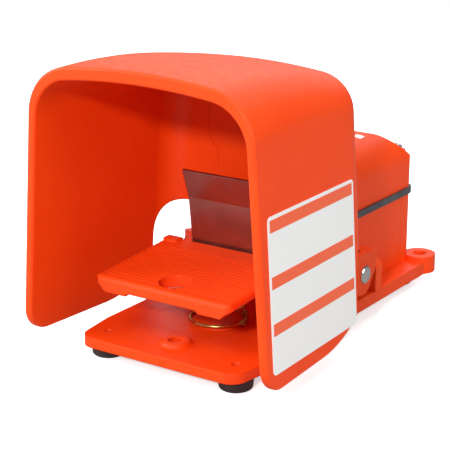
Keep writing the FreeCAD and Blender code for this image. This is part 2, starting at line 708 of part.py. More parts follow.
def guard():
    """Cast hood: an outer form less an inner one, cut to its side view, with a rounded rim."""
    outer = hood(GUARD_FRONT_Y, GUARD_BACK_Y, 0, 0, PLATE_BOTTOM_Z, GUARD_BACK_R)
    inner = hood(GUARD_FRONT_Y - 2 * PAST, GUARD_BACK_Y - GUARD_WALL, GUARD_WALL, GUARD_ROOF,
                 PLATE_BOTTOM_Z - PAST,
                 GUARD_BACK_R - GUARD_WALL)
    profile = guard_side_profile()
    shell = outer.cut(inner).common(profile).Solids[0]
    shell = shell.makeFillet(GUARD_RIM_R, rim_edges(shell, profile))
    holes = [cylinder(GUARD_SCREW_R + SCREW_GAP, 4 * GUARD_WALL, V(x, GUARD_BACK_Y - 2 * GUARD_WALL, z), Y)
             for x, z in GUARD_SCREWS]
    return cut(joined([shell, guard_pad()]), holes)


def guard_screws():
    grip = GUARD_WALL + PAD_THICK + TOWER_THICK
    seat_y = GUARD_BACK_Y - GUARD_WALL - PAD_THICK
    return Part.makeCompound([screw(V(x, seat_y, z), Y, GUARD_SCREW_R, grip, GUARD_SCREW_HEAD_R,
                                    GUARD_SCREW_HEAD_H,
                                    GUARD_SCREW_SLOT) for x, z in GUARD_SCREWS])


def gasket():
    """Neoprene frame between housing and cover, standing a little proud all round."""
    out, land = GASKET_PROUD, GASKET_LAND
    ring = slab(box_outline(HOUSING_HALF + out, HOUSING_FRONT_Y - out, HOUSING_REAR_Y + out,
                            HOUSING_CORNER_R + out),
                "xy", HOUSING_TOP_Z, COVER_BOTTOM_Z)
    hole = slab(box_outline(HOUSING_HALF - land, HOUSING_FRONT_Y + land, HOUSING_REAR_Y - land, land),
                "xy", HOUSING_TOP_Z - PAST, COVER_BOTTOM_Z + PAST)
    corners = [cylinder(COVER_POST_R, GASKET_THICK, V(x, y, HOUSING_TOP_Z), Z) for x, y in COVER_SCREWS]
    holes = [cylinder(COVER_SCREW_R + SCREW_GAP, GASKET_THICK + 2 * PAST, V(x, y, HOUSING_TOP_Z - PAST), Z)
             for x, y in COVER_SCREWS]
    return cut(joined([cut(ring, [hole])] + corners), holes)


def cover_block(inset, bottom, top):
    """The cover's outer form, or its inside when taken in by inset."""
    half = HOUSING_HALF - inset
    front, rear = HOUSING_FRONT_Y + inset, HOUSING_REAR_Y - inset
    side_r = COVER_SIDE_R - inset
    slope_y = HOUSING_REAR_Y - COVER_REAR_SLOPE - inset / 2
    across = slab([(-half, bottom), (half, bottom), (half, top, side_r), (-half, top, side_r)], "xz",
                  front - PAST, rear + PAST)
    along = slab([(front, bottom), (rear, bottom), (rear, COVER_REAR_SLOPE_Z - inset, COVER_REAR_LOW_R),
                  (slope_y, top, COVER_REAR_TOP_R), (front, top, COVER_FRONT_R - inset)], "yz",
                  -half - PAST, half + PAST)
    plan = slab(box_outline(half, front, rear, HOUSING_CORNER_R - inset), "xy", bottom, top)
    return across.common(along).common(plan)


def cover():
    """Cast cover: rounded shoulders, sloped rear, screw posts and spot-faced screw seats."""
    body = cut(cover_block(0, COVER_BOTTOM_Z, COVER_TOP_Z),
               [cover_block(COVER_WALL, COVER_BOTTOM_Z - PAST, COVER_TOP_Z - COVER_WALL)])
    posts = [cylinder(COVER_POST_R, COVER_SCREW_SEAT_Z - COVER_BOTTOM_Z, V(x, y, COVER_BOTTOM_Z), Z)
             for x, y in COVER_SCREWS]
    body = joined([body] + posts)
    tools = []
    for x, y in COVER_SCREWS:
        tools.append(cylinder(COVER_SPOT_R, COVER_TOP_Z, V(x, y, COVER_SCREW_SEAT_Z), Z))
        tools.append(cylinder(COVER_SCREW_R + SCREW_GAP, COVER_TOP_Z, V(x, y, COVER_BOTTOM_Z - PAST), Z))
    return cut(body, tools)


def cover_screws():
    grip = COVER_SCREW_SEAT_Z - HOUSING_TOP_Z + COVER_SCREW_GRIP - COVER_SCREW_SHORT
    return Part.makeCompound([screw(V(x, y, COVER_SCREW_SEAT_Z), Z * -1, COVER_SCREW_R, grip,
                                    COVER_SCREW_HEAD_R,
                                    COVER_SCREW_HEAD_H, COVER_SCREW_SLOT) for x, y in COVER_SCREWS])


def shaft_bush(side):
    """Bronze bush pressed into the housing wall, open for the seal at its outer end."""
    outer_end = V(side * BUSH_OUT_X, SHAFT_Y, SHAFT_Z)
    ring = cylinder(BUSH_R, BUSH_LENGTH, outer_end, X * -side)
    bore = cylinder(SHAFT_R + RUNNING_GAP, BUSH_LENGTH + 2 * PAST, outer_end + X * side * PAST, X * -side)
    groove = cylinder(SEAL_R, SEAL_SECTION, outer_end - X * side * SEAL_INSET, X * -side)
    return cut(ring, [bore, groove])


def shaft_seal(side):
    """Square-backed seal ring that wipes the shaft inside each bush."""
    at = V(side * (BUSH_OUT_X - SEAL_INSET), SHAFT_Y, SHAFT_Z)
    ring = cylinder(SEAL_R, SEAL_SECTION, at, X * -side)
    return cut(ring, [cylinder(SHAFT_R + RUNNING_GAP, SEAL_SECTION + 2 * PAST, at + X * side * PAST,
                               X * -side)])


def pivot_shaft():
    half = ARM_OUT_X + SHAFT_END_OUT
    shaft = cylinder(SHAFT_R, 2 * half, V(-half, SHAFT_Y, SHAFT_Z), X)
    rims = [e for e in shaft.Edges if abs(abs(e.BoundBox.Center.x) - half) < 1e-6]
    return cut(shaft.makeChamfer(SHAFT_CHAMFER, rims), arm_pin_holes())


def slope_z(y, below):
    """Height at depth y on a plane that lies below the treadle plate's top."""
    return TREADLE_FRONT_Z + (y - TREADLE_FRONT_Y) * math.tan(math.radians(TREADLE_SLOPE_DEG)) - below


def treadle_plate():
    """Grooved plate with a rolled front, lipped sides and two under-ribs, drawn flat and then tilted."""
    low = -TREADLE_THICK - TREADLE_RIB_DROP
    side = [(TREADLE_HALF, 0, TREADLE_TOP_R), (TREADLE_HALF, -TREADLE_LIP, TREADLE_LOW_R),
            (TREADLE_HALF - TREADLE_LIP_WIDTH, -TREADLE_LIP - TREADLE_LOW_R, TREADLE_LOW_R),
            (TREADLE_RIB_OUT_X, low, TREADLE_LOW_R), (TREADLE_RIB_IN_X, low, TREADLE_LOW_R),
            (TREADLE_RIB_IN_X - TREADLE_RIB_DRAFT, -TREADLE_THICK, TREADLE_LOW_R / 2)]
    section = side + [(-p[0], p[1], p[2]) for p in reversed(side)]
    across = slab(section, "xz", 0, TREADLE_LENGTH)
    along = slab([(0, low, TREADLE_LOW_R), (TREADLE_LENGTH, low), (TREADLE_LENGTH, 0, TREADLE_LOW_R / 2),
                  (0, 0, TREADLE_FRONT_R)], "yz", -TREADLE_HALF - PAST, TREADLE_HALF + PAST)
    plan = slab(box_outline(TREADLE_HALF, 0, TREADLE_LENGTH, TREADLE_CORNER_R), "xy", low, PAST)
    plate = joined([across.common(along).common(plan)] + both_sides(corner_pad()))
    hole_along = (FRONT_BOSS_Y - TREADLE_FRONT_Y) / math.cos(math.radians(TREADLE_SLOPE_DEG))
    hole = cylinder(ACCESS_HOLE_R, 2 * PAST - low, V(0, hole_along, low - PAST), Z)
    plate = cut(plate, grip_grooves() + [hole])
    plate.rotate(V(0, 0, 0), X, TREADLE_SLOPE_DEG)
    plate.translate(V(0, TREADLE_FRONT_Y, TREADLE_FRONT_Z))
    return plate


def corner_pad():
    """Raised pad at the plate's rear right corner, over the root of the arm."""
    out_x = TREADLE_HALF - PAST
    front, rear = TREADLE_LENGTH - CORNER_PAD_LENGTH, TREADLE_LENGTH
    side = slab([(front, -TREADLE_LIP), (rear, -TREADLE_LIP), (rear, CORNER_PAD_RISE, CORNER_PAD_R),
                 (front, CORNER_PAD_RISE, CORNER_PAD_R)], "yz", out_x - CORNER_PAD_WIDTH, out_x)
    plan = slab([(out_x - CORNER_PAD_WIDTH, front, CORNER_PAD_R), (out_x, front, CORNER_PAD_R),
                 (out_x, rear, TREADLE_CORNER_R - PAST), (out_x - CORNER_PAD_WIDTH, rear)], "xy",
                -TREADLE_LIP, CORNER_PAD_RISE)
    return side.common(plan)


def grip_grooves():
    """Shallow V grooves across the plate, one every pitch."""
    half = TREADLE_HALF - GROOVE_MARGIN
    count = int((GROOVE_END - GROOVE_START) / GROOVE_PITCH) + 1
    grooves = []
    for n in range(count):
        y = GROOVE_START + n * GROOVE_PITCH
        grooves.append(slab([(y - GROOVE_WIDTH / 2, 0), (y, -GROOVE_DEPTH), (y + GROOVE_WIDTH / 2, 0),
                             (y, GROOVE_DEPTH)],
                            "yz", -half, half))
    return grooves


def arm_root_z():
    """Height of the arm's lower edge where it leaves the under-rib."""
    return slope_z(SPRING_Y, TREADLE_THICK + TREADLE_RIB_DROP - ARM_ROOT_CLEAR)


def arm_side_points():
    """Side view of an arm, from its root under the plate to the round end on the shaft."""
    rear, lug_top = TREADLE_REAR_Y, LATCH_PIN_Z + LATCH_LUG_R
    heel_y = SHAFT_Y + ARM_HEEL
    end_z = SHAFT_Z - ARM_END_R
    upper = [(SPRING_Y, arm_root_z() + ARM_ROOT_RISE), (rear - PAST, TREADLE_FRONT_Z),
             (rear + PAST, lug_top - PAST, PAST), (LATCH_PIN_Y, lug_top, ARM_ROOT),
             (LATCH_PIN_Y + ARM_LUG_LENGTH, lug_top - PAST, ARM_BEND_R),
             (SHAFT_Y - ARM_HEEL, ARM_TOP_Z, ARM_KNEE_R),
             (heel_y, ARM_TOP_Z, ARM_HEEL_R)]
    lower = [(heel_y - ARM_HEEL_DRAFT, SHAFT_Z, ARM_ROOT),
             (SHAFT_Y + ARM_END_FLAT, end_z, ARM_END_R - ARM_END_FLAT),
             (SHAFT_Y - ARM_ROOT, end_z, ARM_BEND_R), (*arm_neck(), ARM_BEND_R),
             (*arm_lug_under(), ARM_BEND_R),
             (SPRING_Y, arm_root_z())]
    return upper + lower


def arm_lug_under():
    return TREADLE_REAR_Y + 2 * PAST, LATCH_PIN_Z - LATCH_LUG_R - ARM_LUG_UNDER


def arm_neck():
    return SHAFT_Y - ARM_NECK, SHAFT_Z - ARM_NECK_DROP


def arm_bottom_z(y):
    """Height of the arm's lower edge at a depth between the latch lug and the shaft."""
    front_y, front_z = arm_lug_under()
    back_y, back_z = arm_neck()
    share = (y - front_y) / (back_y - front_y)
    return front_z + share * (back_z - front_z)


def arm():
    """Right arm: a side profile crossed with a dog-leg plan that clears the housing."""
    side = slab(arm_side_points(), "yz", 0, ARM_OUT_X + PAST)
    inner, outer = LATCH_HALF + LATCH_SIDE_GAP, LATCH_LUG_OUT_X
    root, rear = TREADLE_RIB_IN_X + PAST, TREADLE_REAR_Y - PAST
    start_y, end_y = SPRING_Y - ARM_ROOT, SHAFT_Y + ARM_HEEL + PAST
    bend_y, knee_y = LATCH_PIN_Y + LATCH_PIN_R + LATCH_CLIP_WIDTH + LATCH_SHOULDER, SHAFT_Y - ARM_KNEE
    plan = slab([(root, start_y), (outer, start_y), (outer, bend_y, ARM_ROOT),
                 (ARM_OUT_X, knee_y, ARM_KNEE_R),
                 (ARM_OUT_X, end_y), (ARM_IN_X, end_y), (ARM_IN_X, knee_y + ARM_ROOT, ARM_BEND_R),
                 (inner, bend_y + ARM_ROOT / 2, ARM_ROOT), (inner, rear), (root, rear)], "xy", 0,
                 LATCH_BEND_Z)
    return side.common(plan)


def spring_anchor():
    """Ledge behind the plate that the latch spring's fixed leg bears up against."""
    front = SPRING_Y + SPRING_R / 2
    rear = LATCH_PIN_Y - LATCH_SPRING_R - LATCH_SPRING_WIRE_R - SEAT_GAP
    bottom = LATCH_PIN_Z - LATCH_SPRING_R + LATCH_SPRING_WIRE_R + ANCHOR_GAP
    top = slope_z(front, TREADLE_THICK) + PAST
    return Part.makeBox(2 * ANCHOR_HALF, rear - front, top - bottom, V(-ANCHOR_HALF, front, bottom))


def treadle():
    """Treadle casting: plate, spring boss and the two arms, bored for shaft and latch pin."""
    boss = cylinder(spring_boss_r(), SPRING_BOSS_RISE + TREADLE_THICK / 2,
                    V(0, SPRING_Y, slope_z(SPRING_Y, TREADLE_THICK) - SPRING_BOSS_RISE), Z)
    body = joined([treadle_plate(), boss, spring_anchor()] + both_sides(arm()))
    holes = []
    for side in (-1, 1):
        holes.append(cylinder(SHAFT_R + 2 * RUNNING_GAP, ARM_THICK + 2 * PAST,
                              V(side * (ARM_IN_X - PAST), SHAFT_Y, SHAFT_Z),
                              X * side))
        holes.append(cylinder(LATCH_PIN_R + RUNNING_GAP, LATCH_LUG_OUT_X + PAST,
                              V(0, LATCH_PIN_Y, LATCH_PIN_Z), X * side))
    return cut(body, holes + arm_pin_holes())


def helix_wire(radius, parts):
    """Joined helices of (length, turns), stacked along Z, each going on from where the last one ends."""
    edges, height, angle = [], 0, 0
    for length, turns in parts:
        piece = Part.makeHelix(length / turns, length, radius)
        piece.rotate(V(0, 0, 0), Z, angle)
        piece.translate(Z * height)
        edges += piece.Edges
        height += length
        angle += 360 * turns
    return Part.Wire(edges)


def coil(radius, wire_r, parts, at, along):
    """A round-wire spring along an axis, from its helices' lengths and turns."""
    path = helix_wire(radius, parts)
    first = path.Edges[0]
    start, tangent = first.valueAt(first.FirstParameter), first.tangentAt(first.FirstParameter)
    arc = 360 / WIRE_ARCS
    ring = Part.Wire([Part.makeCircle(wire_r, start, tangent, n * arc, (n + 1) * arc)
                      for n in range(WIRE_ARCS)])
    spring = path.makePipeShell([ring], True, True)
    if along != Z:
        spring.rotate(V(0, 0, 0), Z.cross(along), 90)
    spring.translate(at)
    return spring


def treadle_spring():
    """Compression spring with closed ends between base plate and treadle, at its rest length."""
    bottom = PLATE_TOP_Z + SPRING_WIRE_R + SPRING_SEAT_GAP
    top = slope_z(SPRING_Y - SPRING_R, TREADLE_THICK) - SPRING_WIRE_R - SPRING_SEAT_GAP
    middle = top - bottom - 2 * SPRING_END_PITCH
    parts = [(SPRING_END_PITCH, 1), (middle, SPRING_TURNS), (SPRING_END_PITCH, 1)]
    return coil(SPRING_R, SPRING_WIRE_R, parts, V(0, SPRING_Y, bottom), Z)


def tail_y():
    """Depth of the middle of the latch tails at their tips."""
    return LATCH_PIN_Y + LATCH_TAIL_SETBACK


def strip(points, sheet, bend_r, x0, x1):
    """A bent sheet whose centre line runs through (y, z) points, from x0 to x1."""
    ahead, behind = [], []
    count = len(points)
    for i in range(count):
        before = V(0, *points[max(i - 1, 0)])
        here = V(0, *points[i])
        after = V(0, *points[min(i + 1, count - 1)])
        one = (here - before).normalize() if i > 0 else (after - here).normalize()
        two = (after - here).normalize() if i < count - 1 else one
        normal = (X.cross(one) + X.cross(two)).normalize()
        reach = sheet / 2 / (normal * X.cross(one))
        turning = X * one.cross(two)
        inner, outer = bend_r, bend_r + sheet
        end = i in (0, count - 1)
        ahead_r = 0 if end else (inner if turning > 0 else outer)
        behind_r = 0 if end else (outer if turning > 0 else inner)
        ahead.append(((here + normal * reach).y, (here + normal * reach).z, ahead_r))
        behind.append(((here - normal * reach).y, (here - normal * reach).z, behind_r))
    return slab(ahead + behind[::-1], "yz", x0, x1)


def latch_line():
    """Centre line of the latch panel, from its lip down behind the treadle."""
    foot_y = TREADLE_REAR_Y + LATCH_FOOT_GAP + LATCH_SHEET / 2
    bend_y = foot_y - LATCH_FOOT_GAP - LATCH_PANEL_LEAN
    return [(bend_y - LATCH_LIP_LEAN, LATCH_BEND_Z + LATCH_LIP_HEIGHT), (bend_y, LATCH_BEND_Z),
            (foot_y, LATCH_PIN_Z + LATCH_EAR_R), (foot_y, LATCH_PIN_Z - LATCH_FOOT_DROP)]


def latch_plate():
    """Toe plate: leaning lip, flat panel, two pivot ears and two locking tails."""
    low_y = latch_line()[-1][0]
    panel = strip(latch_line(), LATCH_SHEET, LATCH_BEND_R, -LATCH_HALF, LATCH_HALF)
    notch = Part.makeBox(2 * LATCH_NOTCH_HALF, 4 * LATCH_SHEET, LATCH_NOTCH_HALF,
                         V(-LATCH_NOTCH_HALF, low_y - 2 * LATCH_SHEET,
                           LATCH_PIN_Z + LATCH_NOTCH_TOP - LATCH_NOTCH_HALF))
    ear = slab([(low_y, LATCH_PIN_Z - LATCH_FOOT_DROP), (LATCH_PIN_Y, LATCH_PIN_Z - LATCH_EAR_R, PAST),
                (LATCH_PIN_Y + LATCH_EAR_R, LATCH_PIN_Z, LATCH_EAR_R - PAST),
                (LATCH_PIN_Y, LATCH_PIN_Z + LATCH_EAR_R + PAST, 3 * PAST),
                (low_y, LATCH_PIN_Z + 2 * LATCH_EAR_R)], "yz",
               LATCH_HALF - LATCH_SHEET, LATCH_HALF)
    tail = strip([(low_y, LATCH_PIN_Z), (low_y, LATCH_PIN_Z - LATCH_TAIL_KNEE),
                  (tail_y() - LATCH_TAIL_LEAN, LATCH_PIN_Z - LATCH_TAIL_BEND), (tail_y(), LATCH_TAIL_TIP_Z)],
                 LATCH_SHEET, LATCH_BEND_R, LATCH_TAIL_IN_X, LATCH_TAIL_OUT_X)
    body = joined([cut(panel, [notch])] + both_sides(ear) + both_sides(tail))
    reach = LATCH_HALF + PAST
    hole = cylinder(LATCH_PIN_R + RUNNING_GAP, 2 * reach, V(-reach, LATCH_PIN_Y, LATCH_PIN_Z), X)
    return cut(body, [hole])


def latch_pin():
    half = LATCH_LUG_OUT_X + LATCH_PIN_END
    return cylinder(LATCH_PIN_R, 2 * half, V(-half, LATCH_PIN_Y, LATCH_PIN_Z), X)


def latch_clips():
    """Retaining rings on the ends of the latch pin, outside the treadle lugs."""
    clips = []
    for side in (-1, 1):
        at = V(side * LATCH_LUG_OUT_X, LATCH_PIN_Y, LATCH_PIN_Z)
        ring = cylinder(LATCH_PIN_R + LATCH_CLIP_WIDTH, LATCH_CLIP_THICK, at, X * side)
        clips.append(cut(ring, [cylinder(LATCH_PIN_R, LATCH_CLIP_THICK + 2 * PAST, at - X * side * PAST,
                                         X * side)]))
    return Part.makeCompound(clips)


def latch_coil_length():
    return LATCH_SPRING_TURNS * (2 * LATCH_SPRING_WIRE_R + SEAT_GAP)


def latch_spring():
    """Torsion spring round the latch pin, with its fixed leg held under the treadle plate."""
    start = V(-latch_coil_length() / 2, LATCH_PIN_Y, LATCH_PIN_Z)
    body = coil(LATCH_SPRING_R, LATCH_SPRING_WIRE_R, [(latch_coil_length(), LATCH_SPRING_TURNS)], start, X)
    return joined([body, cylinder(LATCH_SPRING_WIRE_R, LATCH_SPRING_LEG, start - Z * LATCH_SPRING_R, Y * -1)])


def latch_spring_leg():
    """Last turn of that spring and its moving leg, which pushes the latch panel forward."""
    x = latch_coil_length() / 2 + 2 * LATCH_SPRING_WIRE_R + SEAT_GAP
    turn = Part.makeTorus(LATCH_SPRING_R, LATCH_SPRING_WIRE_R, V(x, LATCH_PIN_Y, LATCH_PIN_Z), X)
    panel_back = latch_line()[2][0] + LATCH_SHEET / 2
    root = V(x, LATCH_PIN_Y - LATCH_SPRING_R, LATCH_PIN_Z)
    tip = V(x, panel_back + LATCH_SPRING_WIRE_R + ANCHOR_GAP, LATCH_PIN_Z + LATCH_SPRING_LEG)
    leg = cylinder(LATCH_SPRING_WIRE_R, (tip - root).Length, root, (tip - root).normalize())
    return joined([turn, leg])


def arm_pin(side, length):
    """A pin down through one arm and the shaft, from just below the shaft."""
    bottom = SHAFT_Z - SHAFT_R - ARM_PIN_BELOW
    return cylinder(ARM_PIN_R, length, V(side * (ARM_IN_X + ARM_THICK / 2), SHAFT_Y, bottom), Z)


def arm_pin_depth():
    return ARM_TOP_Z - SHAFT_Z + SHAFT_R + ARM_PIN_BELOW


def arm_pin_holes():
    return [arm_pin(side, arm_pin_depth() + PAST) for side in (-1, 1)]


def arm_pins():
    """Spring pins driven through each arm and the shaft, which lock the two together."""
    return Part.makeCompound([arm_pin(side, arm_pin_depth() - ARM_PIN_SHORT) for side in (-1, 1)])


def cam_lever():
    """Lever clamped to the shaft inside the housing; it lifts the switch plunger."""
    hub = cylinder(LEVER_HUB_R, 2 * LEVER_HALF, V(-LEVER_HALF, SHAFT_Y, SHAFT_Z), X)
    hub = hub.common(Part.makeBox(2 * LEVER_HALF, 2 * LEVER_HUB_R,
                                  LEVER_HUB_R + LEVER_TOP_ABOVE_SHAFT + LEVER_HUB_CROWN,
                                  V(-LEVER_HALF, SHAFT_Y - LEVER_HUB_R, SHAFT_Z - LEVER_HUB_R)))
    top, root, tip = SHAFT_Z + LEVER_TOP_ABOVE_SHAFT, SHAFT_Y + LEVER_ROOT, SHAFT_Y + LEVER_REACH
    blade = slab([(root, top), (tip, top, SWITCH_EDGE_R),
                  (tip, top - LEVER_THICK * LEVER_TIP_SHARE, SWITCH_EDGE_R),
                  (root, top - LEVER_THICK * LEVER_ROOT_SHARE)], "yz", -LEVER_HALF, LEVER_HALF)
    bore = cylinder(SHAFT_R, 2 * (LEVER_HALF + PAST), V(-LEVER_HALF - PAST, SHAFT_Y, SHAFT_Z), X)
    tap = cylinder(SMALL_SCREW_R, LEVER_HUB_R + PAST, V(0, SHAFT_Y, SHAFT_Z), Y * -1)
    return cut(joined([hub, blade]), [bore, tap])


def lever_screw():
    """Set screw that locks the lever on the shaft."""
    return cylinder(SMALL_SCREW_R, LEVER_HUB_R - SHAFT_R + LEVER_SCREW_PROUD,
                    V(0, SHAFT_Y - SHAFT_R, SHAFT_Z), Y * -1)


def switch_body():
    """Snap switch: moulded block with a guided plunger bore and side screw holes."""
    front, rear = SWITCH_FRONT_Y, SWITCH_FRONT_Y + SWITCH_LENGTH
    low, top = SWITCH_BOTTOM_Z, SWITCH_BOTTOM_Z + SWITCH_HEIGHT
    bevel, edge = SWITCH_TOP_BEVEL, SWITCH_EDGE_R
    block = slab([(front, low, edge), (rear, low, edge), (rear, top - bevel, edge), (rear - bevel, top, edge),
                  (front + bevel, top, edge), (front, top - bevel, edge)], "yz", -SWITCH_HALF, SWITCH_HALF)
    bore_top = PLUNGER_BOTTOM_Z + PLUNGER_LENGTH + PLUNGER_ROOM
    bore = cylinder(PLUNGER_R + RUNNING_GAP, bore_top - low + PAST, V(0, PLUNGER_Y, low - PAST), Z)
    holes = [cylinder(SMALL_SCREW_R, 2 * (SWITCH_HALF + PAST), V(-SWITCH_HALF - PAST, y, z), X)
             for y, z in switch_screw_spots()]
    taps = [cylinder(SMALL_SCREW_R, TERMINAL_GRIP + PAST, V(-SWITCH_HALF - PAST, y, z), X) for y,
            z in terminal_spots()]
    return cut(block, [bore] + holes + taps)


def switch_plunger():
    """Plunger with a domed tip."""
    shoulder = V(0, PLUNGER_Y, PLUNGER_BOTTOM_Z + PLUNGER_R)
    return joined([cylinder(PLUNGER_R, PLUNGER_LENGTH - PLUNGER_R, shoulder, Z),
                   Part.makeSphere(PLUNGER_R, shoulder)])


def switch_screw_spots():
    front = SWITCH_FRONT_Y + SWITCH_LENGTH / 2 - SWITCH_SCREW_AHEAD
    return [(front + n * SWITCH_SCREW_PITCH, SWITCH_BOTTOM_Z + SWITCH_SCREW_RISE) for n in (0, 1)]


def terminal_spots():
    middle = SWITCH_FRONT_Y + SWITCH_LENGTH / 2
    return [(middle + n * TERMINAL_PITCH, SWITCH_BOTTOM_Z + SWITCH_HEIGHT - TERMINAL_DROP)
            for n in (-1, 0, 1)]


def bracket_screw_spots():
    x = SWITCH_HALF + BRACKET_SHEET + BRACKET_FOOT / 2
    return [(x, BRACKET_FRONT_Y + BRACKET_SCREW_FRONT),
            (x, BRACKET_FRONT_Y + BRACKET_LENGTH - BRACKET_SCREW_REAR)]


def ground_spot():
    return GROUND_INSET_X - HOUSING_HALF + HOUSING_WALL, HOUSING_REAR_Y - HOUSING_WALL - GROUND_INSET_Y


def switch_bracket():
    """Bent steel angle that carries the switch off the housing floor."""
    corner = V(SWITCH_HALF, BRACKET_FRONT_Y, CAVITY_FLOOR_Z)
    wall = Part.makeBox(BRACKET_SHEET, BRACKET_LENGTH, SWITCH_BOTTOM_Z + BRACKET_LAP - CAVITY_FLOOR_Z, corner)
    foot = Part.makeBox(BRACKET_FOOT + BRACKET_SHEET, BRACKET_LENGTH, BRACKET_SHEET, corner)
    depth = BRACKET_SHEET + 2 * PAST
    holes = [cylinder(SMALL_SCREW_R, depth, V(SWITCH_HALF - PAST, y, z), X) for y, z in switch_screw_spots()]
    holes += [cylinder(SMALL_SCREW_R, depth, V(x, y, CAVITY_FLOOR_Z - PAST), Z) for x,
              y in bracket_screw_spots()]
    return cut(joined([wall, foot]), holes)


def small_screw(at, along, grip, head_r=SMALL_HEAD_R):
    return screw(at, along, SMALL_SCREW_R, grip, head_r, SMALL_HEAD_H, SMALL_SCREW_SLOT)


def switch_screws():
    grip = 2 * SWITCH_HALF + BRACKET_SHEET
    return Part.makeCompound([small_screw(V(-SWITCH_HALF, y, z), X, grip) for y, z in switch_screw_spots()])


def bracket_screws():
    seat_z = CAVITY_FLOOR_Z + BRACKET_SHEET
    grip = BRACKET_SHEET + HOUSING_FLOOR - SMALL_SCREW_SHORT
    return Part.makeCompound([small_screw(V(x, y, seat_z), Z * -1, grip) for x, y in bracket_screw_spots()])


def terminal_screws():
    return Part.makeCompound([small_screw(V(-SWITCH_HALF, y, z), X, TERMINAL_GRIP) for y,
                              z in terminal_spots()])


def ground_screw():
    return small_screw(V(*ground_spot(), CAVITY_FLOOR_Z), Z * -1, HOUSING_FLOOR - SMALL_SCREW_SHORT,
                       GROUND_HEAD_R)


def write(name, shape):
    """Moves a piece so that the whole object stands over the origin, and saves it."""
    moved = shape.copy()
    moved.translate(Y * -MIDDLE_Y)
    moved.exportStep("parts/" + name + ".step")


def main():
    os.makedirs("parts", exist_ok=True)
    write("base_casting", base_casting())
    for name, (x, y) in FEET.items():
        write("rubber_foot_" + name, rubber_foot(x, y))
    for name, side in (("left", -1), ("right", 1)):
        write("shaft_bush_" + name, shaft_bush(side))
        write("shaft_seal_" + name, shaft_seal(side))
    makers = (switch_housing, housing_rear, foot_screws, down_stops, guard, guard_screws, cover, cover_screws,
              pivot_shaft, treadle, arm_pins, treadle_spring, latch_plate, latch_pin, latch_clips,
              latch_spring,
              latch_spring_leg, cam_lever, lever_screw, switch_body, switch_plunger, switch_bracket,
              switch_screws,
              bracket_screws, terminal_screws, ground_screw)
    for maker in makers:
        write(maker.__name__, maker())
    write("cover_gasket", gasket())


main()
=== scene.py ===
import bpy
import math
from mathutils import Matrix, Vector


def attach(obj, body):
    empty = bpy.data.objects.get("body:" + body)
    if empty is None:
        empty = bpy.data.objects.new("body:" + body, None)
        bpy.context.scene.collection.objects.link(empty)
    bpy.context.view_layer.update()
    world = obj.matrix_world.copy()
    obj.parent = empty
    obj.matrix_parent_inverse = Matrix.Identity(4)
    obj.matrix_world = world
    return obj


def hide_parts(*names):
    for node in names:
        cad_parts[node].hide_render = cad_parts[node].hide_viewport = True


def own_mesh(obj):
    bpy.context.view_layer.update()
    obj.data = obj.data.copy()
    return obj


# Industrial foot switch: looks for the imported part. Lengths are metres in the part's own frame.

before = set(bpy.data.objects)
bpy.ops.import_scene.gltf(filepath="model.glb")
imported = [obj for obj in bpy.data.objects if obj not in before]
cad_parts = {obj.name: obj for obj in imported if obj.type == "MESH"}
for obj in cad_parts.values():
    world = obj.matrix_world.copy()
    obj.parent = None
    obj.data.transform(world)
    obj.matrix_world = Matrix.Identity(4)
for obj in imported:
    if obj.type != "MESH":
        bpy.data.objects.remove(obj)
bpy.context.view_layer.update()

MM = 0.001

# Depths count from the front of the drawing, whose origin lies this far in front of the part's middle
MIDDLE_Y = 115.185 * MM

# Guard wall, as in the solid part: outside half-width falls with depth and height
GUARD_HALF = 84.9 * MM
GUARD_FRONT_Y = -13.7 * MM
GUARD_FLOOR_Z = 13.8 * MM
GUARD_TAPER = 0.060
GUARD_DRAFT = 0.0725


def node_tree(material):
    material.use_nodes = True
    tree = material.node_tree
    return tree, tree.nodes["Principled BSDF"]


def add(tree, kind, **values):
    node = tree.nodes.new(kind)
    for key, value in values.items():
        setattr(node, key, value)
    return node


def texture_place(tree, scale=(1, 1, 1)):
    coordinates = add(tree, "ShaderNodeTexCoord")
    mapping = add(tree, "ShaderNodeMapping")
    mapping.inputs["Scale"].default_value = scale
    tree.links.new(coordinates.outputs["Object"], mapping.inputs["Vector"])
    return mapping.outputs["Vector"]


def noise(tree, place, scale, detail=4.0, rough=0.55):
    node = add(tree, "ShaderNodeTexNoise")
    node.inputs["Scale"].default_value = scale
    node.inputs["Detail"].default_value = detail
    node.inputs["Roughness"].default_value = rough
    tree.links.new(place, node.inputs["Vector"])
    return node.outputs["Fac"]


def spread(tree, value, low, high, to_low, to_high):
    node = add(tree, "ShaderNodeMapRange")
    node.inputs["From Min"].default_value = low
    node.inputs["From Max"].default_value = high
    node.inputs["To Min"].default_value = to_low
    node.inputs["To Max"].default_value = to_high
    tree.links.new(value, node.inputs["Value"])
    return node.outputs["Result"]


def mixed(tree, factor, one, two):
    node = add(tree, "ShaderNodeMix", data_type="RGBA")
    node.inputs[6].default_value = one
    node.inputs[7].default_value = two
    tree.links.new(factor, node.inputs[0])
    return node.outputs[2]


def bumps(tree, shader, layers, soft_edge=0.0):
    """Stacks (height, strength, distance in metres) layers into the shader's normal, over softened edges."""
    previous = None
    if soft_edge:
        edge = add(tree, "ShaderNodeBevel", samples=6)
        edge.inputs["Radius"].default_value = soft_edge
        previous = edge.outputs["Normal"]
    for height, strength, distance in layers:
        node = add(tree, "ShaderNodeBump")
        node.inputs["Strength"].default_value = strength
        node.inputs["Distance"].default_value = distance
        tree.links.new(height, node.inputs["Height"])
        if previous is not None:
            tree.links.new(previous, node.inputs["Normal"])
        previous = node.outputs["Normal"]
    tree.links.new(previous, shader.inputs["Normal"])


PAINT_EDGE = 1.3 * MM
PAINT_SHINE = 0.24


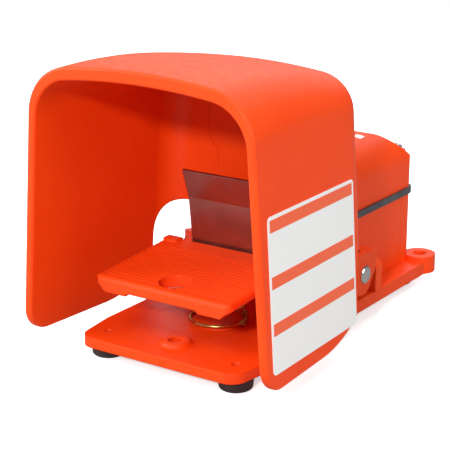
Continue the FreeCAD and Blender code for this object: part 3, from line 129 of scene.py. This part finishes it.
def paint(name, tone, deep, grain=900.0, grain_depth=0.05 * MM, roughness=(0.42, 0.54)):
    """Baked enamel over sand-cast metal: a fine orange-peel skin and slow waves under it."""
    material = bpy.data.materials.new(name)
    tree, shader = node_tree(material)
    place = texture_place(tree)
    tint = spread(tree, noise(tree, place, 26.0), 0.3, 0.7, 0.0, 1.0)
    tree.links.new(mixed(tree, tint, (*tone, 1), (*deep, 1)), shader.inputs["Base Color"])
    tree.links.new(spread(tree, noise(tree, place, 240.0), 0.3, 0.7, *roughness), shader.inputs["Roughness"])
    shader.inputs["Specular IOR Level"].default_value = PAINT_SHINE
    skin = [(noise(tree, place, 60.0, 2.0), 0.35, 0.10 * MM), (noise(tree, place, grain), 0.55, grain_depth)]
    bumps(tree, shader, skin, PAINT_EDGE)
    return material


def metal(name, tone, roughness, stretch=(1, 1, 1), grain=500.0, uneven=0.09, bump=0.02 * MM,
          soft_edge=0.0):
    """Bare or plated metal with drawn or brushed lines along the axis with the smallest stretch."""
    material = bpy.data.materials.new(name)
    tree, shader = node_tree(material)
    place = texture_place(tree, stretch)
    lines = noise(tree, place, grain, 3.0)
    cloud = noise(tree, texture_place(tree), 60.0)
    dark = tuple(0.72 * c for c in tone)
    patches = spread(tree, cloud, 0.25, 0.75, 0.0, 1.0)
    tree.links.new(mixed(tree, patches, (*tone, 1), (*dark, 1)), shader.inputs["Base Color"])
    gloss = spread(tree, lines, 0.3, 0.7, roughness - uneven, roughness + uneven)
    tree.links.new(gloss, shader.inputs["Roughness"])
    shader.inputs["Metallic"].default_value = 1.0
    bumps(tree, shader, [(lines, 0.5, bump)], soft_edge)
    return material


def moulded(name, tone, roughness, grain=700.0, depth=0.04 * MM, specular=0.4):
    """Rubber or plastic with a fine moulded grain and a little dust in it."""
    material = bpy.data.materials.new(name)
    tree, shader = node_tree(material)
    place = texture_place(tree)
    pale = tuple(min(1.0, c * 1.6 + 0.01) for c in tone)
    dust = spread(tree, noise(tree, place, 90.0), 0.4, 0.75, 0.0, 1.0)
    tree.links.new(mixed(tree, dust, (*tone, 1), (*pale, 1)), shader.inputs["Base Color"])
    gloss = spread(tree, noise(tree, place, 300.0), 0.3, 0.7, roughness - 0.07, roughness + 0.07)
    tree.links.new(gloss, shader.inputs["Roughness"])
    shader.inputs["Specular IOR Level"].default_value = specular
    bumps(tree, shader, [(noise(tree, place, grain), 0.5, depth)])
    return material


def plain(name, tone, roughness):
    """Printed film: a barely uneven colour and a fine, shallow skin."""
    material = bpy.data.materials.new(name)
    tree, shader = node_tree(material)
    place = texture_place(tree)
    dim = tuple(0.96 * c for c in tone)
    tree.links.new(mixed(tree, noise(tree, place, 40.0), (*tone, 1), (*dim, 1)), shader.inputs["Base Color"])
    shader.inputs["Roughness"].default_value = roughness
    bumps(tree, shader, [(noise(tree, place, 300.0, 2.0), 0.2, 0.01 * MM)])
    return material


orange = paint("orange_enamel", (0.880, 0.064, 0.003), (0.850, 0.057, 0.002))
orange_base = paint("orange_enamel_base", (0.880, 0.064, 0.003), (0.850, 0.056, 0.002),
                    grain=1100.0, grain_depth=0.07 * MM)
orange_tread = paint("orange_enamel_tread", (0.870, 0.064, 0.003), (0.820, 0.054, 0.002),
                     grain=800.0, grain_depth=0.16 * MM, roughness=(0.44, 0.60))
rubber = moulded("black_rubber", (0.030, 0.016, 0.014), 0.60)
gasket_rubber = moulded("gasket_rubber", (0.042, 0.046, 0.052), 0.50, grain=1200.0)
zinc = metal("zinc_plate", (0.62, 0.63, 0.62), 0.34, grain=900.0)
ground = metal("ground_steel", (0.60, 0.60, 0.60), 0.26, stretch=(0.15, 1, 1), grain=1500.0)
oxide = metal("black_oxide", (0.050, 0.050, 0.054), 0.42, grain=1200.0)
wire = metal("spring_wire", (0.40, 0.40, 0.41), 0.30, grain=1500.0)
gold = metal("yellow_zinc", (0.62, 0.43, 0.14), 0.30, grain=260.0, bump=0.008 * MM)
# Latch plate's brushed stainless: its warm reddish tone is a painted reflection of the orange paint around
# it, not the steel's own grey
stainless_with_painted_warm_reflection = metal("brushed_stainless", (0.47, 0.42, 0.41), 0.34, stretch=(0.3, 1, 0.06),
                  grain=1400.0, uneven=0.02, bump=0.006 * MM, soft_edge=0.7 * MM)
bronze = metal("sintered_bronze", (0.46, 0.26, 0.10), 0.45, grain=2500.0)
brass = metal("brass_plate", (0.72, 0.50, 0.20), 0.30, grain=900.0)
green = moulded("green_dye", (0.02, 0.20, 0.06), 0.40)
phenolic = moulded("black_phenolic", (0.018, 0.018, 0.020), 0.38, grain=500.0)
ivory = moulded("ivory_plastic", (0.66, 0.60, 0.48), 0.35, grain=500.0)
film_white = plain("film_white", (0.86, 0.86, 0.85), 0.30)
film_orange = plain("film_orange", (0.90, 0.11, 0.025), 0.30)

LOOKS = {
    "guard": orange, "cover": orange, "base_casting": orange_base, "treadle": orange_tread,
    "switch_housing": orange_base, "housing_rear": orange_base, "down_stops": rubber,
    "rubber_foot_front_left": rubber, "rubber_foot_front_right": rubber, "rubber_foot_rear_left": rubber,
    "rubber_foot_rear_right": rubber, "shaft_seal_left": rubber, "shaft_seal_right": rubber,
    "cover_gasket": gasket_rubber, "foot_screws": zinc, "guard_screws": zinc, "cover_screws": zinc,
    "switch_bracket": zinc, "switch_screws": zinc, "bracket_screws": zinc, "terminal_screws": brass,
    "ground_screw": green, "pivot_shaft": ground, "latch_pin": ground, "arm_pins": oxide,
    "latch_clips": oxide, "cam_lever": oxide, "lever_screw": oxide, "latch_spring": wire,
    "latch_spring_leg": wire, "latch_plate": stainless_with_painted_warm_reflection, "shaft_bush_left": bronze,
    "shaft_bush_right": bronze, "switch_body": phenolic, "switch_plunger": ivory,
}
for name, look in LOOKS.items():
    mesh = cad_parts[name].data
    mesh.materials.clear()
    mesh.materials.append(look)


def drawn_piece(name, points, faces, look):
    """A mesh piece that rides on the base and takes the finish it is given."""
    mesh = bpy.data.meshes.new(name)
    mesh.from_pydata(points, [], faces)
    mesh.materials.append(look)
    piece = bpy.data.objects.new(name, mesh)
    bpy.context.scene.collection.objects.link(piece)
    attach(piece, "base")
    return piece


# Blank label on the guard's right wall: white film with three plain bands
LABEL_CENTRE = (43.3 * MM, 65.3 * MM)
LABEL_SIZE = (99.2 * MM, 85.5 * MM)
LABEL_TURN = -1.4
LABEL_CORNER_R = 3.0 * MM
FILM_LOW, FILM_TOP = -0.05 * MM, 0.28 * MM
BAND_LOW, BAND_TOP = FILM_TOP - 0.02 * MM, FILM_TOP + 0.06 * MM
BAND_HEIGHT = 6.7 * MM
BAND_MARGIN = 2.0 * MM
BAND_CORNER_R = 0.4 * MM
BAND_DROPS = (BAND_MARGIN, 32.2 * MM, 57.6 * MM)


def wall_point(y, z, lift):
    """A point on the outside of the guard's right wall, lifted off it by lift."""
    x = GUARD_HALF - GUARD_TAPER * (y - GUARD_FRONT_Y) - GUARD_DRAFT * (z - GUARD_FLOOR_Z)
    normal = Vector((1, GUARD_TAPER, GUARD_DRAFT)).normalized()
    return Vector((x, y - MIDDLE_Y, z)) + normal * lift


def rounded(width, height, radius, steps=8):
    """Corner-rounded rectangle as (u, v) points about its centre."""
    points = []
    corners = ((1, 1, 0), (-1, 1, 90), (-1, -1, 180), (1, -1, 270))
    for sx, sy, start in corners:
        cx, cy = sx * (width / 2 - radius), sy * (height / 2 - radius)
        for n in range(steps + 1):
            a = math.radians(start + 90 * n / steps)
            points.append((cx + radius * math.cos(a), cy + radius * math.sin(a)))
    return points


def label_spot(u, v):
    """Depth and height on the wall of a point u along and v up the label from its centre."""
    turn = math.radians(LABEL_TURN)
    y = LABEL_CENTRE[0] + u * math.cos(turn) - v * math.sin(turn)
    z = LABEL_CENTRE[1] + u * math.sin(turn) + v * math.cos(turn)
    return y, z


def wall_film(name, rise, size, radius, low, high, look):
    """Thin film on the label's place, rise above its centre, from low to high above the paint."""
    outline = [label_spot(u, v + rise) for u, v in rounded(*size, radius)]
    count = len(outline)
    points = [wall_point(y, z, lift) for lift in (low, high) for y, z in outline]
    faces = [list(range(count))[::-1], [count + i for i in range(count)]]
    faces += [[i, (i + 1) % count, count + (i + 1) % count, count + i] for i in range(count)]
    drawn_piece(name, points, faces, look)


wall_film("blank_film", 0, LABEL_SIZE, LABEL_CORNER_R, FILM_LOW, FILM_TOP, film_white)
for number, drop in enumerate(BAND_DROPS):
    band_rise = LABEL_SIZE[1] / 2 - drop - BAND_HEIGHT / 2
    band_size = (LABEL_SIZE[0] - 2 * BAND_MARGIN, BAND_HEIGHT)
    wall_film("film_band_%d" % number, band_rise, band_size, BAND_CORNER_R, BAND_LOW, BAND_TOP,
              film_orange)

# Small blank plate on the right shoulder of the cover, bent to its curve
COVER_HALF, COVER_TOP_Z, COVER_SIDE_R = 42.0 * MM, 105.6 * MM, 22.0 * MM
PLATE_X = (20.5 * MM, 26.0 * MM)
PLATE_Y = (185.0 * MM, 191.0 * MM)
PLATE_LIFTS = (-0.05 * MM, 0.35 * MM)
PLATE_STEPS = 8


def shoulder_point(x, y, lift):
    """A point on the cover's rounded right shoulder, lifted off it by lift."""
    centre = Vector((COVER_HALF - COVER_SIDE_R, y - MIDDLE_Y, COVER_TOP_Z - COVER_SIDE_R))
    a = math.asin((x - centre.x) / COVER_SIDE_R)
    return centre + Vector((math.sin(a), 0, math.cos(a))) * (COVER_SIDE_R + lift)


def shoulder_plate(name):
    """Thin rectangular plate, bent in steps across the shoulder."""
    points, faces = [], []
    for n in range(PLATE_STEPS + 1):
        x = PLATE_X[0] + (PLATE_X[1] - PLATE_X[0]) * n / PLATE_STEPS
        points += [shoulder_point(x, y, lift) for y in PLATE_Y for lift in PLATE_LIFTS]
    for n in range(PLATE_STEPS):
        a, b = 4 * n, 4 * n + 4
        faces += [(a + 1, b + 1, b + 3, a + 3), (a, a + 2, b + 2, b)]
        faces += [(a, b, b + 1, a + 1), (a + 2, a + 3, b + 3, b + 2)]
    last = 4 * PLATE_STEPS
    faces += [(0, 1, 3, 2), (last, last + 2, last + 3, last + 1)]
    drawn_piece(name, points, faces, film_white)


shoulder_plate("blank_cover_plate")

# Treadle spring: a coil drawn in the solid one's place, at its height; the real spring shortens as the
# treadle goes down
SPRING_WIRE_R = 1.05 * MM
SPRING_END_PITCH = 2.4 * MM
SPRING_TURNS = 2.5
SPRING_STEPS, SPRING_SIDES = 48, 12


def spring_point(turn, radius, rise):
    """Centre of the wire after so many turns, from the coil's foot: closed ends, open middle."""
    middle = rise - 2 * SPRING_END_PITCH
    height = SPRING_END_PITCH * min(turn, 1) + SPRING_END_PITCH * max(turn - 1 - SPRING_TURNS, 0)
    height += middle * min(max(turn - 1, 0), SPRING_TURNS) / SPRING_TURNS
    angle = 2 * math.pi * turn
    return Vector((radius * math.cos(angle), radius * math.sin(angle), height))


def squashed_spring(name, node):
    """Round-wire coil in the room of the solid spring."""
    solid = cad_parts[node]
    corners = [solid.matrix_world @ vertex.co for vertex in solid.data.vertices]
    low = Vector([min(c[i] for c in corners) for i in range(3)])
    high = Vector([max(c[i] for c in corners) for i in range(3)])
    radius = (high.x - low.x) / 2 - SPRING_WIRE_R
    rise = high.z - low.z - 2 * SPRING_WIRE_R
    foot = Vector(((low.x + high.x) / 2, (low.y + high.y) / 2, low.z + SPRING_WIRE_R))
    count = round(SPRING_STEPS * (SPRING_TURNS + 2))
    points, faces = [], []
    for n in range(count + 1):
        turn = n / SPRING_STEPS
        here = spring_point(turn, radius, rise)
        ahead, behind = (spring_point(turn + bit, radius, rise) for bit in (0.01, -0.01))
        along = (ahead - behind).normalized()
        out = Vector((here.x, here.y, 0)).normalized()
        up = out.cross(along).normalized()
        for side in range(SPRING_SIDES):
            a = 2 * math.pi * side / SPRING_SIDES
            points.append(foot + here + (out * math.cos(a) + up * math.sin(a)) * SPRING_WIRE_R)
    for n in range(count):
        for side in range(SPRING_SIDES):
            a, b = n * SPRING_SIDES + side, n * SPRING_SIDES + (side + 1) % SPRING_SIDES
            faces.append((a, a + SPRING_SIDES, b + SPRING_SIDES, b))
    last = count * SPRING_SIDES
    faces += [tuple(range(SPRING_SIDES)), tuple(range(last, last + SPRING_SIDES))[::-1]]
    piece = drawn_piece(name, points, faces, gold)
    piece.data.shade_smooth()
    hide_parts(node)
    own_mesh(piece)


squashed_spring("treadle_coil", "treadle_spring")

# Camera, as fitted to the photo
LOOK_AT = Vector((-13.07 * MM, 90 * MM - MIDDLE_Y, 65.34 * MM))
AZIMUTH, ELEVATION = math.radians(34.18), math.radians(17.29)
DISTANCE = 878.4 * MM
FOCAL_PX, FRAME_PX = 1451.6, 450
SENSOR_WIDTH = 36

scene = bpy.context.scene
level = math.cos(ELEVATION)
away = Vector((math.sin(AZIMUTH) * level, -math.cos(AZIMUTH) * level, math.sin(ELEVATION)))
camera = bpy.data.objects.new("camera", bpy.data.cameras.new("camera"))
scene.collection.objects.link(camera)
camera.location = LOOK_AT + away * DISTANCE
camera.rotation_euler = (-away).to_track_quat("-Z", "Y").to_euler()
camera.data.lens = FOCAL_PX * SENSOR_WIDTH / FRAME_PX
camera.data.sensor_width = SENSOR_WIDTH
camera.data.clip_start, camera.data.clip_end = 0.05, 20
scene.camera = camera


def area(name, place, target, size, power):
    """Rectangular light at a place, turned to its target."""
    light = bpy.data.lights.new(name, "AREA")
    light.shape = "RECTANGLE"
    light.size, light.size_y = size
    light.energy = power
    lamp = bpy.data.objects.new(name, light)
    scene.collection.objects.link(lamp)
    lamp.location = place
    lamp.rotation_euler = (Vector(target) - Vector(place)).to_track_quat("-Z", "Y").to_euler()


area("key", (0.55, -1.60, 0.86), (0, -0.02, 0.06), (0.12, 0.12), 20.5)
area("front", (0.15, -1.30, 1.50), (0, -0.04, 0.04), (0.5, 0.5), 9.0)
area("side", (1.50, -0.05, 0.85), (0.02, 0.0, 0.07), (1.0, 1.0), 13.5)
area("top", (-0.10, 0.30, 1.35), (0, 0.0, 0.10), (0.9, 0.9), 8.0)
area("left", (-1.30, -0.65, 0.70), (0, 0.0, 0.12), (0.9, 0.9), 26.0)
area("back", (-0.65, 1.9, 1.08), (0, 0.0, 0.12), (2.2, 1.2), 12.0)

# White backdrop for the camera, dimmer light from it on the object
world = bpy.data.worlds.new("studio")
scene.world = world
world.use_nodes = True
tree = world.node_tree
background = tree.nodes["Background"]
background.inputs["Color"].default_value = (1, 1, 1, 1)
background.inputs["Strength"].default_value = 0.15
white = add(tree, "ShaderNodeBackground")
white.inputs["Color"].default_value = (1, 1, 1, 1)
white.inputs["Strength"].default_value = 1.0
path = add(tree, "ShaderNodeLightPath")
mix = add(tree, "ShaderNodeMixShader")
tree.links.new(path.outputs["Is Camera Ray"], mix.inputs["Fac"])
tree.links.new(background.outputs["Background"], mix.inputs[1])
tree.links.new(white.outputs["Background"], mix.inputs[2])
tree.links.new(mix.outputs["Shader"], tree.nodes["World Output"].inputs["Surface"])

# Floor: white with a soft shadow for the camera, grey for the light that it throws back
FLOOR_HALF = 1.1

floor_mesh = bpy.data.meshes.new("floor")
floor_corners = [(x * FLOOR_HALF, y * FLOOR_HALF, 0) for x, y in ((-1, -1), (1, -1), (1, 1), (-1, 1))]
floor_mesh.from_pydata(floor_corners, [], [(0, 1, 2, 3)])
floor = bpy.data.objects.new("floor", floor_mesh)
scene.collection.objects.link(floor)
floor_look = bpy.data.materials.new("floor_white")
tree, shader = node_tree(floor_look)
shader.inputs["Base Color"].default_value = (0.92, 0.92, 0.92, 1)
shader.inputs["Roughness"].default_value = 0.9
shader.inputs["Specular IOR Level"].default_value = 0.0
glow = add(tree, "ShaderNodeEmission")
glow.inputs["Color"].default_value = (1, 1, 1, 1)
glow.inputs["Strength"].default_value = 0.55
path = add(tree, "ShaderNodeLightPath")
both = add(tree, "ShaderNodeAddShader")
dim = add(tree, "ShaderNodeBsdfDiffuse")
dim.inputs["Color"].default_value = (0.40, 0.40, 0.40, 1)
choose = add(tree, "ShaderNodeMixShader")
tree.links.new(shader.outputs["BSDF"], both.inputs[0])
tree.links.new(glow.outputs["Emission"], both.inputs[1])
tree.links.new(path.outputs["Is Camera Ray"], choose.inputs["Fac"])
tree.links.new(dim.outputs["BSDF"], choose.inputs[1])
tree.links.new(both.outputs["Shader"], choose.inputs[2])
tree.links.new(choose.outputs["Shader"], tree.nodes["Material Output"].inputs["Surface"])
floor_mesh.materials.append(floor_look)

scene.view_settings.view_transform = "Standard"
